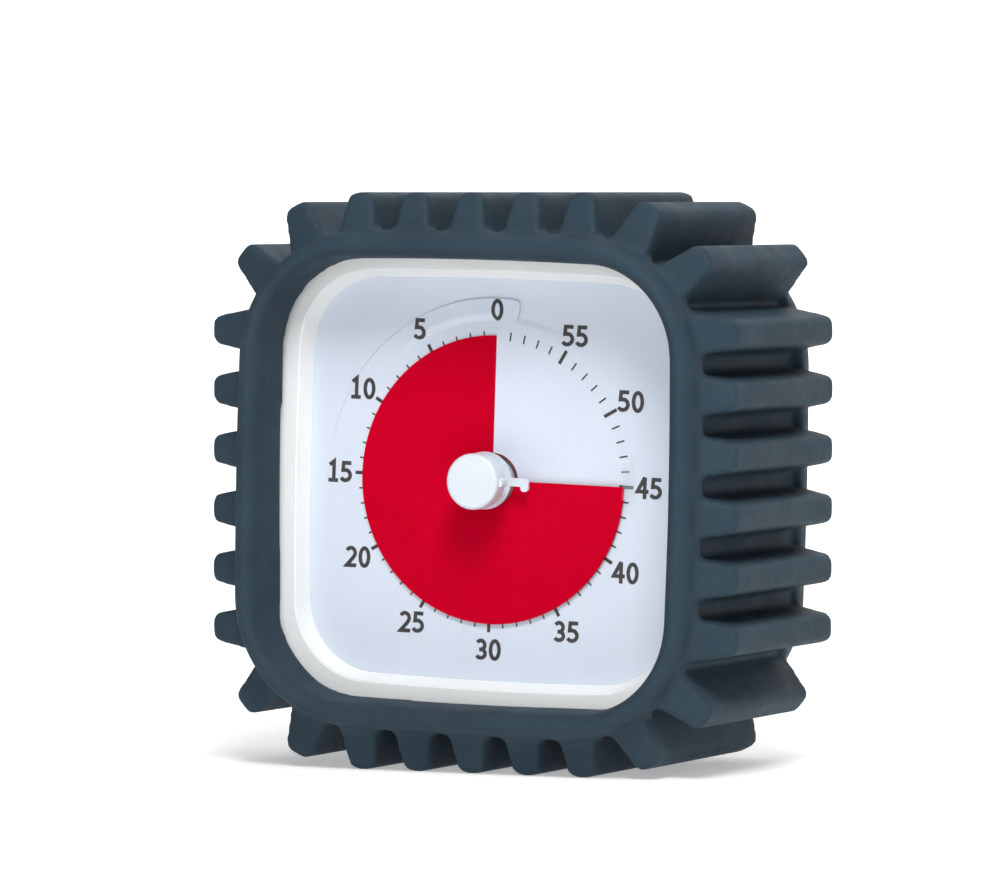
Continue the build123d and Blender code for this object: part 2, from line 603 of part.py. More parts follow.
def coil_winding():
    x0, x1 = STATOR_WINDOW_X
    winding = coil_section(1.9, (x0 + 0.8, x1 - 0.8))
    winding = fillet(winding.edges().filter_by(Axis.X), 0.7)
    return winding - coil_section(0.5, (x0 + 0.8, x1 - 0.8))


def alarm_contact():
    """Two leaf springs on a block beside the cam."""
    near, far = ALARM_CAM_DEPTHS
    leaves = brick((-8.0, 4.0), (3.7, 3.95), (near, far)) + brick((-8.0, 4.0), (5.2, 5.45), (near, far))
    return leaves + brick((-9.5, -6.0), (3.2, 6.2), (CASE_DEPTHS[0] + CASE_WALL, far + 0.6))


# --- electrics -------------------------------------------------------------------------------
def main_pcb():
    board = brick(PCB_X, PCB_Z, PCB_DEPTHS)
    for x, z in PCB_SCREWS:
        board -= rod(1.2, *PCB_DEPTHS, x, z)
    return board


def control_chip():
    near = PCB_DEPTHS[0]
    chip = brick((-12.0, -4.0), (10.0, 18.0), (near - 1.2, near))
    return fillet([e for e in chip.edges() if abs(e.center().Y - FRONT_Y - near + 1.2) < 0.01], 0.5)


def crystal_can():
    near = PCB_DEPTHS[0]
    can = brick((8.0, 14.0), (12.0, 15.0), (near - 2.6, near))
    return fillet(can.edges().filter_by(Axis.Y), 1.2)


def buzzer():
    near = PCB_DEPTHS[1]
    body = rod(BUZZER_RADIUS, near, 53.6, *BUZZER_PLACE)
    return body - rod(1.4, 52.6, 53.6, *BUZZER_PLACE)


def volume_pot():
    x, z = POT_PLACE
    near = PCB_DEPTHS[1]
    return brick((x - 5.5, x + 5.5), (z - 5.5, z + 5.5), (near, near + 5.0))


def volume_knob():
    """Finger dial on the back with a pointer slot and a grooved edge."""
    near, far = REAR_WALL[1] + 0.3, COVER_DEPTH - 0.4
    x, z = POT_PLACE
    disc = rod(VOLUME_KNOB_RADIUS, near, far, x, z)
    disc = chamfer(disc.edges().group_by(Axis.Y)[-1], 0.4)
    disc -= slab(RectangleRounded(9.0, 1.6, 0.7), far - 0.8, far, x, z)
    for i in range(24):
        angle = 2 * pi * i / 24
        disc -= rod(0.45, near, far, x + VOLUME_KNOB_RADIUS * cos(angle), z + VOLUME_KNOB_RADIUS * sin(angle))
    return disc + rod(VOLUME_SHAFT_RADIUS, PCB_DEPTHS[1] + 5.2, near, x, z)


def battery():
    x0, x1 = BATTERY_X
    cell = along_x(BATTERY_RADIUS, (x0, x1), BATTERY_DEPTH, BATTERY_Z)
    cell = fillet(cell.edges(), 0.6)
    return cell + along_x(2.7, (x1, x1 + 1.0), BATTERY_DEPTH, BATTERY_Z)


def battery_contact_positive():
    """Flat plate with a tail up to the board."""
    x0 = BATTERY_X[1] + 1.0
    plate = brick((x0, x0 + 0.4), (BATTERY_Z - 5.5, BATTERY_Z + 5.5), (41.5, 51.5))
    return plate + brick((x0, x0 + 0.4), (BATTERY_Z, PCB_Z[0] + 2.0), (PCB_DEPTHS[1], 48.0))


def battery_contact_negative():
    """Bent leaf pressed by the cell, with a tail up to the board."""
    x0 = BAY_X[0] + 0.15
    leaf = [(x0, -5.0), (x0 + 0.4, -5.0), (x0 + 0.4, 2.6), (BATTERY_X[0] - 0.05, -2.2),
            (BATTERY_X[0] - 0.05, -1.6), (x0 + 0.4, 3.6), (x0 + 0.4, 5.0), (x0, 5.0)]
    plane = Plane((0, FRONT_Y + BATTERY_DEPTH, CENTRE_Z + BATTERY_Z - 4.0), x_dir=(1, 0, 0), z_dir=(0, 0, 1))
    contact = extrude(plane * make_face(Polyline(leaf, close=True)), amount=8.0)
    return contact + brick((x0, x0 + 0.4), (BATTERY_Z, PCB_Z[0] + 2.0), (PCB_DEPTHS[1], 48.0))


# --- fasteners -------------------------------------------------------------------------------
def screw(x, z, tip, head, shaft_radius, head_radius, head_height, from_front=False):
    """Pan-head screw with a cross slot; the head is at the rear unless it goes in from the front."""
    depths = (tip, head)
    head_depths = (head, head + head_height)
    slot_depths = (head + head_height * 0.45, head + head_height)
    if from_front:
        depths = (head, tip)
        head_depths = (head - head_height, head)
        slot_depths = (head - head_height, head - head_height * 0.45)
    body = rod(shaft_radius, *depths, x, z) + rod(head_radius, *head_depths, x, z)
    length, width = head_radius * 1.3, head_radius * 0.28
    return body - slab(Rectangle(length, width) + Rectangle(width, length), *slot_depths, x, z)


def group(solids):
    return Compound(children=list(solids))


def case_screws():
    return group(screw(sx * POST_PLACE, sz * POST_PLACE, 25.0, 50.0, 1.45, 2.7, 2.0) for sx, sz in CORNERS)


def movement_screws():
    return group(screw(x, z, MOVEMENT_SCREW_TIP, CASE_DEPTHS[0] + 2, 1.0, 1.9, 1.2) for x, z in MOVEMENT_LUGS)


def movement_cover_screws():
    return group(screw(x, z, COVER_SCREW_TIP, CASE_COVER[1], 0.8, 1.5, 0.9) for x, z in CASE_POSTS)


def pcb_screws():
    return group(screw(x, z, 49.5, PCB_DEPTHS[0], 1.05, 1.9, 1.1, from_front=True) for x, z in PCB_SCREWS)


NODES = [
    silicone_cover, front_lens, front_housing, rear_housing, dial_backplate, dial_card,
    red_disc, disc_guide_tab, knob, disc_hub, spindle_shaft, alarm_cam, clutch_collar,
    clutch_spring, centre_wheel, retaining_ring, third_wheel, second_wheel, rotor_pinion,
    rotor_magnet, movement_case, movement_cover, stator, coil_bobbin, coil_winding,
    alarm_contact, main_pcb, control_chip, crystal_can, buzzer, volume_pot, volume_knob,
    battery, battery_contact_positive, battery_contact_negative, battery_door,
    case_screws, movement_screws, movement_cover_screws, pcb_screws,
]


def main():
    os.makedirs("parts", exist_ok=True)
    for make in NODES:
        export_step(make(), f"parts/{make.__name__}.step")


if __name__ == "__main__":
    main()
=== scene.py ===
"""The looks of the square countdown timer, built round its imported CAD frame.

Blender works in metres; lengths here are millimetres and go through MM. The dial faces -Y.
A dial place is a radius and an angle counter-clockwise from the slit, and a height is the
distance in front of the card's middle plane.
"""

import json
from math import atan2, cos, degrees, hypot, pi, radians, sin

import bmesh
import bpy
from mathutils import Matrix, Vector


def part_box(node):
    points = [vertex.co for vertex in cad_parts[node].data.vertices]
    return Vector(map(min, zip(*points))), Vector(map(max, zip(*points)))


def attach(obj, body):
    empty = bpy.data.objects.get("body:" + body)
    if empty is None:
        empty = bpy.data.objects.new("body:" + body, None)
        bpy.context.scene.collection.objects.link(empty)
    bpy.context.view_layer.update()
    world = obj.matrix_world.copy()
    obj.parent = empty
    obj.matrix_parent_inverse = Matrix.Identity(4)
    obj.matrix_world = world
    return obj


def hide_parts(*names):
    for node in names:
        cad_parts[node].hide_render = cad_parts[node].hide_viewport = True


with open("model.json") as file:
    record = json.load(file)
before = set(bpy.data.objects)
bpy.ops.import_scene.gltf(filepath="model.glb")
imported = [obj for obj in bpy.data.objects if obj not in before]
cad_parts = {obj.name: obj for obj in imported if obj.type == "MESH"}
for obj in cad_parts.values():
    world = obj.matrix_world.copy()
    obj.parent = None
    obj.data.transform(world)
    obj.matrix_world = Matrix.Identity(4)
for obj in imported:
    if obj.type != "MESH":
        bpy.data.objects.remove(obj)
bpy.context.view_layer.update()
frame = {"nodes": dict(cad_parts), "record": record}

MM = 0.001
MERGE = 1e-7                  # points closer than this many metres are one

# --- places read from the frame --------------------------------------------------------------
card_low, card_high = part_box("dial_card")
knob_low, knob_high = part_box("knob")
FRONT_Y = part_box("silicone_cover")[0].y
CARD_Y = (card_low.y + card_high.y) / 2
CENTRE_X = (knob_low.x + knob_high.x) / 2
CENTRE_Z = (knob_low.z + knob_high.z) / 2

# --- dial, in millimetres and degrees --------------------------------------------------------
DIAL_TURN = 1.9               # the printed scale sits turned clockwise by this much
CARD_TURN = 1.3               # and the card's outer edge by this much
CARD_HALF = 36.95
CARD_BOW = 0.9                # its sides bulge by this much
CARD_CORNER = 14.2            # radius of its corners, whose centres lie CORNER_SHIFT further out
CORNER_SHIFT = 0.4
CARD_THICKNESS = 0.25
HOLE_RADIUS = 4.9
FLAP_RADIUS = 32.8            # the arc cut that frees the flap left of the slit
FLAP_ANGLE = 82
FLAP_BLEND = 1.6              # width over which the flap passes from its dip to its lift
BULGE_BLEND = 1.4             # width over which the slit's right side flattens out
LIFT_ANGLE = 50               # the flap's outer part rises over this much towards its tab
TAB_REACH = 8                 # degrees by which the flap's tab passes the slit
TAB_INNER = 28.6              # inside it the red disc and its guide film pass through the slit
TAB_CORNER = 1.0
TAB_LIFT = 0.42
SLIT_DROP = 0.27              # how far the slit's two sides stand apart from the card
CUT_WIDTH = 0.05
CUT_FADE = 6                  # degrees over which the curved cut closes at its far end
FINE_RINGS = [27.4 + 0.15 * i for i in range(20)]       # close where the flap's height changes
CARD_RINGS = [HOLE_RADIUS, 12, 20, 25] + FINE_RINGS + [31.0, 32.0, FLAP_RADIUS]
TAB_STEPS = [0, 0.1, 0.25, 0.5, 0.8, 1.2, 1.6, 2] + list(range(3, TAB_REACH + 1))
DISC_RINGS = [4.6, 9, 14, 19, 23, 26.1]
DISC_PITCH = 1.2
DISC_THICKNESS = 0.2
SET_ANGLE = 270               # the disc's leading edge at rest, at forty-five minutes
INK = 0.04                    # the printed marks reach this far above and below the card's face
NUMERAL_RADIUS = 30.75
NUMERAL_HEIGHT = 3.95
NUMERAL_WIDTH = 2.4
NUMERAL_GAP = 0.28            # between the two digits of a numeral
STROKE = 0.71                 # width of a digit's strokes
MITRE_LIMIT = 0.35            # keeps the corners of a stroke from running out to a spike
MAJOR_TICK = (24.85, 27.6, 0.63)      # inner radius, outer radius, width
MINOR_TICK = (25.3, 26.9, 0.29)
TICK_STEPS = 6                # parts along a tick, so that it follows the card
SMOOTH_ANGLE = 30             # sharper edges than this stay crisp on the card and disc
CAD_SMOOTH_ANGLE = 32         # the same limit on the CAD nodes

# --- cover and lens, in millimetres ----------------------------------------------------------
SLEEVE_VOXEL, QUICK_VOXEL = 0.6, 1.2
RELAX_STEPS, QUICK_RELAX_STEPS = 8, 3
LENS_CLEARANCE = 0.05         # between the lens and the housing ring behind it

# --- camera, in millimetres and degrees ------------------------------------------------------
CAMERA_TURN = 24.52           # to the right of straight on
CAMERA_LIFT = 2.05            # above level
CAMERA_DISTANCE = 1220
CAMERA_AIM = (8.8, 8.3)       # right of and above the spindle, in the plane of the cover's front
CAMERA_LENS = 246.8
SENSOR_WIDTH = 36.0


# --- small helpers ---------------------------------------------------------------------------
def link_object(name, data):
    """A new object in the scene for a mesh, lamp or camera."""
    item = bpy.data.objects.new(name, data)
    bpy.context.scene.collection.objects.link(item)
    return item


def add_piece(name, mesh, body, material):
    """A visual piece that rides on a body."""
    piece = link_object(name, mesh)
    mesh.materials.clear()
    mesh.materials.append(material)
    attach(piece, body)
    return piece


def mesh_from(name, vertices, faces):
    mesh = bpy.data.meshes.new(name)
    mesh.from_pydata([tuple(v) for v in vertices], [], faces)
    mesh.validate()
    return mesh


def evaluated_mesh(piece):
    """The piece's mesh with its modifiers applied; the piece itself goes."""
    view = bpy.context.evaluated_depsgraph_get()
    mesh = bpy.data.meshes.new_from_object(piece.evaluated_get(view))
    bpy.data.objects.remove(piece)
    return mesh


def shade_smooth(mesh, angle):
    """Smooth shading across every edge that turns by less than an angle in degrees."""
    mesh.shade_smooth()
    mesh.set_sharp_from_angle(angle=radians(angle))


def dial_place(radius, angle):
    """x and z in millimetres from the spindle of a dial place."""
    turn = radians(angle + 90 - DIAL_TURN)
    return radius * cos(turn), radius * sin(turn)


def in_front(x, z, height):
    """A point in metres, given from the spindle and in front of the card's middle plane."""
    return Vector((CENTRE_X + x * MM, CARD_Y - height * MM, CENTRE_Z + z * MM))


def dial_point(radius, angle, height):
    return in_front(*dial_place(radius, angle), height)


def ease(share):
    """Smooth step from 0 to 1."""
    share = min(max(share, 0.0), 1.0)
    return share * share * (3 - 2 * share)


# --- materials -------------------------------------------------------------------------------
class Shader:
    """A Principled material with its texture nodes, all in object coordinates."""

    def __init__(self, name):
        self.material = bpy.data.materials.new(name)
        self.material.use_nodes = True
        self.nodes = self.material.node_tree.nodes
        self.links = self.material.node_tree.links
        self.bsdf = self.nodes["Principled BSDF"]
        self.place = self.nodes.new("ShaderNodeTexCoord").outputs["Object"]

    def set(self, **values):
        for name, value in values.items():
            self.bsdf.inputs[name.replace("_", " ")].default_value = value

    def noise(self, size, detail=3.0, stretch=None):
        """Noise whose blotches are about size millimetres across."""
        node = self.nodes.new("ShaderNodeTexNoise")
        node.inputs["Scale"].default_value = 1 / (size * MM)
        node.inputs["Detail"].default_value = detail
        node.inputs["Roughness"].default_value = 0.55
        source = self.place
        if stretch:
            mapping = self.nodes.new("ShaderNodeMapping")
            mapping.inputs["Scale"].default_value = stretch
            self.links.new(source, mapping.inputs["Vector"])
            source = mapping.outputs["Vector"]
        self.links.new(source, node.inputs["Vector"])
        return node.outputs["Fac"]

    def ramp(self, source, low, high, start=0.35, end=0.65):
        """Map a value from start..end to two colours or two numbers."""
        if isinstance(low, (int, float)):
            node = self.nodes.new("ShaderNodeMapRange")
            limits = {"From Min": start, "From Max": end, "To Min": low, "To Max": high}
            for key, value in limits.items():
                node.inputs[key].default_value = value
            self.links.new(source, node.inputs["Value"])
            return node.outputs["Result"]
        node = self.nodes.new("ShaderNodeValToRGB")
        stops = node.color_ramp.elements
        stops[0].position, stops[1].position = start, end
        stops[0].color, stops[1].color = (*low, 1), (*high, 1)
        self.links.new(source, node.inputs["Fac"])
        return node.outputs["Color"]

    def mix(self, share, first, second):
        """Mix two colours, each a socket or a plain one, by a value's socket."""
        node = self.nodes.new("ShaderNodeMix")
        node.data_type = "RGBA"
        for key, value in (("Factor", share), ("A", first), ("B", second)):
            socket = [s for s in node.inputs if s.name == key and s.enabled][0]
            if isinstance(value, bpy.types.NodeSocket):
                self.links.new(value, socket)
            else:
                socket.default_value = (*value, 1)
        return [s for s in node.outputs if s.enabled][0]

    def edges(self):
        """0 on flat surfaces and 1 on raised edges."""
        geometry = self.nodes.new("ShaderNodeNewGeometry")
        return self.ramp(geometry.outputs["Pointiness"], 0.0, 1.0, 0.52, 0.60)

    def colour(self, socket):
        self.links.new(socket, self.bsdf.inputs["Base Color"])

    def rough(self, low, high, size):
        self.links.new(self.ramp(self.noise(size, 4.0), low, high), self.bsdf.inputs["Roughness"])

    def bump(self, source, height):
        """Raise the surface by a value; height is in millimetres. Calls add up."""
        node = self.nodes.new("ShaderNodeBump")
        node.inputs["Strength"].default_value = 1.0
        node.inputs["Distance"].default_value = height * MM
        self.links.new(source, node.inputs["Height"])
        target = self.bsdf.inputs["Normal"]
        if target.is_linked:
            self.links.new(target.links[0].from_socket, node.inputs["Normal"])
        self.links.new(node.outputs["Normal"], target)


def two_tones(name, low, high, size, roughness, grain, grain_height):
    """Moulded or coated material: blotchy tone, uneven gloss and a fine grain."""
    shader = Shader(name)
    shader.colour(shader.ramp(shader.noise(size), low, high))
    shader.rough(*roughness, size / 2)
    shader.bump(shader.noise(grain, 2.0), grain_height)
    return shader


def silicone():
    """Matte slate silicone with faint flow marks and slightly lighter raised edges."""
    shader = Shader("slate_silicone")
    tone = shader.ramp(shader.noise(14.0, 4.0), (0.025, 0.044, 0.061), (0.030, 0.052, 0.070))
    dust = shader.ramp(shader.noise(0.7, 2.0), 0.0, 0.05, 0.55, 0.75)
    dusty = shader.mix(dust, tone, (0.07, 0.10, 0.12))
    wear = shader.ramp(shader.edges(), 0.0, 0.10, 0.0, 1.0)
    shader.colour(shader.mix(wear, dusty, (0.060, 0.090, 0.115)))
    shader.rough(0.56, 0.68, 5.0)
    shader.set(Specular_IOR_Level=0.10)
    shader.bump(shader.noise(6.0, 3.0), 0.05)
    shader.bump(shader.noise(0.35, 3.0), 0.006)
    return shader.material


def clear_plastic():
    """Clear anti-glare lens: thin, clean, and it hardly mirrors anything."""
    shader = Shader("clear_lens")
    shader.colour(shader.ramp(shader.noise(20.0), (0.03, 0.04, 0.045), (0.05, 0.06, 0.065)))
    shader.rough(0.03, 0.07, 9.0)
    shader.set(Alpha=0.008)
    shader.bump(shader.noise(22.0, 1.0), 0.01)
    return shader.material


def white_moulding():
    """Glossy white housing plastic that lets a little light in."""
    low, high = (0.84, 0.87, 0.865), (0.87, 0.895, 0.89)
    shader = two_tones("white_housing", low, high, 18.0, (0.28, 0.36), 0.5, 0.002)
    shader.set(Subsurface_Weight=0.05, Subsurface_Radius=(0.002, 0.002, 0.002))
    return shader.material


def printed_card():
    """Satin printed plastic card with a fine tooth and a faint cool mottling."""
    low, high = (0.635, 0.695, 0.80), (0.655, 0.715, 0.82)
    return two_tones("dial_card", low, high, 9.0, (0.42, 0.52), 0.22, 0.0015).material


def ink():
    """Charcoal printing ink, a little uneven."""
    low, high = (0.032, 0.029, 0.032), (0.046, 0.042, 0.045)
    return two_tones("printed_ink", low, high, 1.2, (0.45, 0.6), 0.15, 0.002).material


def red_film():
    """Matte red film with a faint mottling."""
    shader = Shader("red_film")
    tone = shader.ramp(shader.noise(7.0), (0.52, 0.000, 0.015), (0.55, 0.000, 0.018))
    specks = shader.ramp(shader.noise(0.5, 2.0), 0.0, 0.06)
    shader.colour(shader.mix(specks, tone, (0.56, 0.001, 0.021)))
    shader.rough(0.46, 0.56, 4.0)
    shader.set(Specular_IOR_Level=0.0)
    shader.bump(shader.noise(0.25, 2.0), 0.0015)
    return shader.material


def guide_film():
    """Clear film tab, slightly milky."""
    shader = Shader("guide_film")
    shader.colour(shader.ramp(shader.noise(3.0), (0.80, 0.84, 0.92), (0.84, 0.87, 0.94)))
    shader.rough(0.25, 0.35, 2.0)
    shader.set(Alpha=0.10, Specular_IOR_Level=0.2)
    return shader.material


def knob_plastic():
    """Smooth cool white plastic of the knob and hub."""
    low, high = (0.64, 0.69, 0.76), (0.67, 0.72, 0.79)
    shader = two_tones("knob_plastic", low, high, 5.0, (0.30, 0.38), 0.3, 0.0015)
    shader.set(Subsurface_Weight=0.08, Subsurface_Radius=(0.0015, 0.0015, 0.0015))
    return shader.material


def metal(name, low, high, size, roughness, stretch=None):
    """Bare metal with drawn or turned streaks."""
    shader = Shader(name)
    shader.colour(shader.ramp(shader.noise(size, 4.0, stretch=stretch), low, high))
    shader.rough(*roughness, size)
    shader.set(Metallic=1.0)
    shader.bump(shader.noise(size / 3, 2.0, stretch=stretch), 0.002)
    return shader.material


def moulded(name, low, high, roughness=(0.42, 0.56), size=6.0):
    """Satin moulded plastic."""
    return two_tones(name, low, high, size, roughness, 0.4, 0.006).material


def circuit_board():
    """Green solder mask with buried copper traces."""
    shader = Shader("circuit_board")
    brick = shader.nodes.new("ShaderNodeTexBrick")
    brick.inputs["Scale"].default_value = 400
    brick.inputs["Mortar Size"].default_value = 0.012
    brick.inputs["Color1"].default_value = (0.012, 0.110, 0.045, 1)
    brick.inputs["Color2"].default_value = (0.010, 0.095, 0.040, 1)
    brick.inputs["Mortar"].default_value = (0.030, 0.180, 0.080, 1)
    shader.links.new(shader.place, brick.inputs["Vector"])
    shader.colour(brick.outputs["Color"])
    shader.rough(0.22, 0.34, 3.0)
    shader.bump(brick.outputs["Fac"], 0.02)
    return shader.material


def copper_winding():
    """Enamelled wire wound round the bobbin along X."""
    shader = Shader("copper_winding")
    wave = shader.nodes.new("ShaderNodeTexWave")
    wave.bands_direction = "X"
    wave.inputs["Scale"].default_value = 1600
    wave.inputs["Distortion"].default_value = 0.6
    shader.links.new(shader.place, wave.inputs["Vector"])
    gap, wire = (0.30, 0.09, 0.03), (0.70, 0.30, 0.12)
    shader.colour(shader.ramp(wave.outputs["Fac"], gap, wire, 0.1, 0.9))
    shader.rough(0.2, 0.35, 2.0)
    shader.set(Metallic=0.8)
    shader.bump(wave.outputs["Fac"], 0.04)
    return shader.material


def battery_sleeve():
    """Dark printed sleeve with a pale band towards the positive end."""
    shader = Shader("battery_sleeve")
    split = shader.nodes.new("ShaderNodeSeparateXYZ")
    shader.links.new(shader.place, split.inputs["Vector"])
    low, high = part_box("battery")
    band = low.x + 0.72 * (high.x - low.x)          # where the pale band starts
    share = shader.ramp(split.outputs["X"], 0.0, 1.0, band, band + 0.0002)
    dark = shader.ramp(shader.noise(5.0), (0.022, 0.024, 0.027), (0.032, 0.034, 0.038))
    shader.colour(shader.mix(share, dark, (0.55, 0.38, 0.12)))
    shader.rough(0.24, 0.34, 4.0)
    return shader.material


MATERIALS = {
    "silicone": silicone(),
    "clear_plastic": clear_plastic(),
    "white_plastic": white_moulding(),
    "inner_plastic": moulded("inner_plastic", (0.62, 0.63, 0.62), (0.67, 0.68, 0.67), (0.45, 0.6)),
    "card": printed_card(),
    "red_film": red_film(),
    "tab_film": guide_film(),
    "knob_plastic": knob_plastic(),
    "hub_plastic": knob_plastic(),
    "steel": metal("turned_steel", (0.50, 0.50, 0.50), (0.60, 0.60, 0.60), 1.0, (0.22, 0.34),
                   (1, 0.1, 1)),
    "spring_steel": metal("spring_steel", (0.40, 0.40, 0.39), (0.52, 0.52, 0.50), 2.0, (0.25, 0.4)),
    "acetal": moulded("acetal", (0.70, 0.69, 0.62), (0.76, 0.75, 0.69), (0.35, 0.45), 3.0),
    "cam_plastic": moulded("cam_plastic", (0.04, 0.04, 0.05), (0.06, 0.06, 0.07)),
    "brass": metal("brass", (0.55, 0.36, 0.12), (0.66, 0.46, 0.18), 1.5, (0.2, 0.35)),
    "magnet": metal("sintered_magnet", (0.10, 0.10, 0.11), (0.18, 0.18, 0.19), 0.6, (0.4, 0.6)),
    "movement_plastic": moulded("movement_plastic", (0.025, 0.025, 0.028), (0.040, 0.040, 0.043)),
    "lamination": metal("lamination", (0.30, 0.29, 0.27), (0.42, 0.41, 0.38), 2.0, (0.3, 0.5),
                        (1, 12, 1)),
    "bobbin_plastic": moulded("bobbin_plastic", (0.50, 0.48, 0.38), (0.58, 0.56, 0.46)),
    "copper": copper_winding(),
    "contact_metal": metal("contact_leaf", (0.58, 0.45, 0.22), (0.70, 0.56, 0.30), 2.0, (0.2, 0.3)),
    "circuit_board": circuit_board(),
    "chip": moulded("chip_body", (0.012, 0.012, 0.013), (0.020, 0.020, 0.021)),
    "can": metal("drawn_can", (0.55, 0.55, 0.56), (0.68, 0.68, 0.69), 1.2, (0.18, 0.3)),
    "buzzer_plastic": moulded("buzzer_body", (0.012, 0.012, 0.012), (0.022, 0.022, 0.022)),
    "pot_body": moulded("pot_body", (0.02, 0.04, 0.14), (0.03, 0.05, 0.17)),
    "volume_plastic": moulded("volume_plastic", (0.60, 0.61, 0.61), (0.66, 0.67, 0.67), (0.4, 0.5)),
    "battery_wrap": battery_sleeve(),
    "plated_steel": metal("nickel_plate", (0.55, 0.54, 0.50), (0.68, 0.67, 0.63), 2.0,
                          (0.16, 0.28)),
    "door_plastic": moulded("door_plastic", (0.60, 0.61, 0.61), (0.66, 0.67, 0.66), (0.45, 0.6)),
    "screw_steel": metal("zinc_screw", (0.42, 0.42, 0.44), (0.56, 0.56, 0.58), 1.2, (0.25, 0.4)),
}
INK_MATERIAL = ink()


def dress_cad_nodes():
    """Give every carried-over CAD node the material of its slot."""
    slots = {row["node"]: row["material_slot"] for row in frame["record"]["subparts"]}
    for node, piece in frame["nodes"].items():
        piece.data.materials.clear()
        piece.data.materials.append(MATERIALS[slots[node]])
        shade_smooth(piece.data, CAD_SMOOTH_ANGLE)


# --- cover -----------------------------------------------------------------------------------
def ribbed_sleeve():
    """The cover's solid, remeshed and relaxed so that every edge is soft as moulded silicone is."""
    rough = link_object("sleeve_source", frame["nodes"]["silicone_cover"].data.copy())
    remesh = rough.modifiers.new("Remesh", "REMESH")
    remesh.mode = "VOXEL"
    remesh.voxel_size = SLEEVE_VOXEL * MM
    remesh.use_smooth_shade = True
    relax = rough.modifiers.new("Relax", "SMOOTH")
    relax.factor = 0.5
    relax.iterations = RELAX_STEPS
    mesh = evaluated_mesh(rough)
    sleeve = add_piece("ribbed_sleeve", mesh, "timer_body", MATERIALS["silicone"])
    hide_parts("silicone_cover")


def lens_piece():
    """The lens, its back a hair clear of the ring behind it, so that no faces share a plane."""
    mesh = frame["nodes"]["front_lens"].data.copy()
    back = max(vertex.co.y for vertex in mesh.vertices) - LENS_CLEARANCE * MM
    for vertex in mesh.vertices:
        vertex.co.y = min(vertex.co.y, back)
    lens = add_piece("clear_lens", mesh, "timer_body", MATERIALS["clear_plastic"])
    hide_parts("front_lens")


# --- dial ------------------------------------------------------------------------------------
def card_height(radius, angle):
    """Height of the card's middle: the slit's left side dips, its right side and the tab rise."""
    if angle <= FLAP_ANGLE:
        outer = ease((radius - TAB_INNER) / FLAP_BLEND)
        dip, lift = ease(1 - angle / FLAP_ANGLE), ease(1 - angle / LIFT_ANGLE)
        return (1 - outer) * -SLIT_DROP * dip + outer * TAB_LIFT * lift
    if angle >= 360 - FLAP_ANGLE:
        near = 1 - (360 - angle) / FLAP_ANGLE
        return SLIT_DROP * near * (1 - ease((radius - TAB_INNER) / BULGE_BLEND))
    return 0.0


def surface_height(x, z):
    """Height of the card's printed face at a place given from the spindle."""
    radius = hypot(x, z)
    angle = (degrees(atan2(z, x)) - 90 + DIAL_TURN) % 360
    on_tab = angle > 360 - TAB_REACH and TAB_INNER < radius < FLAP_RADIUS
    return (TAB_LIFT if on_tab else card_height(radius, angle)) + CARD_THICKNESS / 2


def card_edge(angle):
    """Radius of the card's outer edge, a bulging square with rounded corners, at a dial angle."""
    turn = radians(angle + 90 - DIAL_TURN + CARD_TURN)
    dx, dz = sorted((abs(cos(turn)), abs(sin(turn))), reverse=True)
    end = CARD_HALF - CARD_BOW
    radius = CARD_HALF
    for _ in range(4):        # the bulge depends on the radius, which settles in a few rounds
        radius = (CARD_HALF - CARD_BOW * (radius * dz / end) ** 2) / dx
    core = end - CARD_CORNER + CORNER_SHIFT
    if radius * dz <= core:
        return radius
    along = core * (dx + dz)
    return min(radius, along + (along ** 2 - 2 * core ** 2 + CARD_CORNER ** 2) ** 0.5)


def sheet(*parts):
    """Vertices and faces of a sheet; each part is a list of columns, joined one to the next."""
    vertices, faces = [], []
    for columns in parts:
        start, count = len(vertices), len(columns[0])
        for column in columns:
            vertices += column
        for i in range(len(columns) - 1):
            for j in range(count - 1):
                a = start + i * count + j
                faces.append((a, a + 1, a + count + 1, a + count))
    return vertices, faces


def thicken(name, vertices, faces, thickness):
    """Closed solid of a sheet whose drawn face is the front one."""
    mesh = mesh_from(name, vertices, faces)
    work = bmesh.new()
    work.from_mesh(mesh)
    bmesh.ops.remove_doubles(work, verts=work.verts, dist=MERGE)
    bmesh.ops.recalc_face_normals(work, faces=work.faces)
    if sum(face.normal.y * face.calc_area() for face in work.faces) > 0:
        bmesh.ops.reverse_faces(work, faces=work.faces)
    front = list(work.faces)
    borders = [edge for edge in work.edges if edge.is_boundary]
    copies = {v: work.verts.new(v.co + Vector((0, thickness * MM, 0))) for v in list(work.verts)}
    for face in front:
        work.faces.new([copies[v] for v in reversed(face.verts)])
    for edge in borders:
        face = edge.link_faces[0]
        loop = [loop for loop in face.loops if loop.edge == edge][0]
        a, b = loop.vert, loop.link_loop_next.vert
        work.faces.new([b, a, copies[a], copies[b]])
    work.to_mesh(mesh)
    work.free()
    return mesh


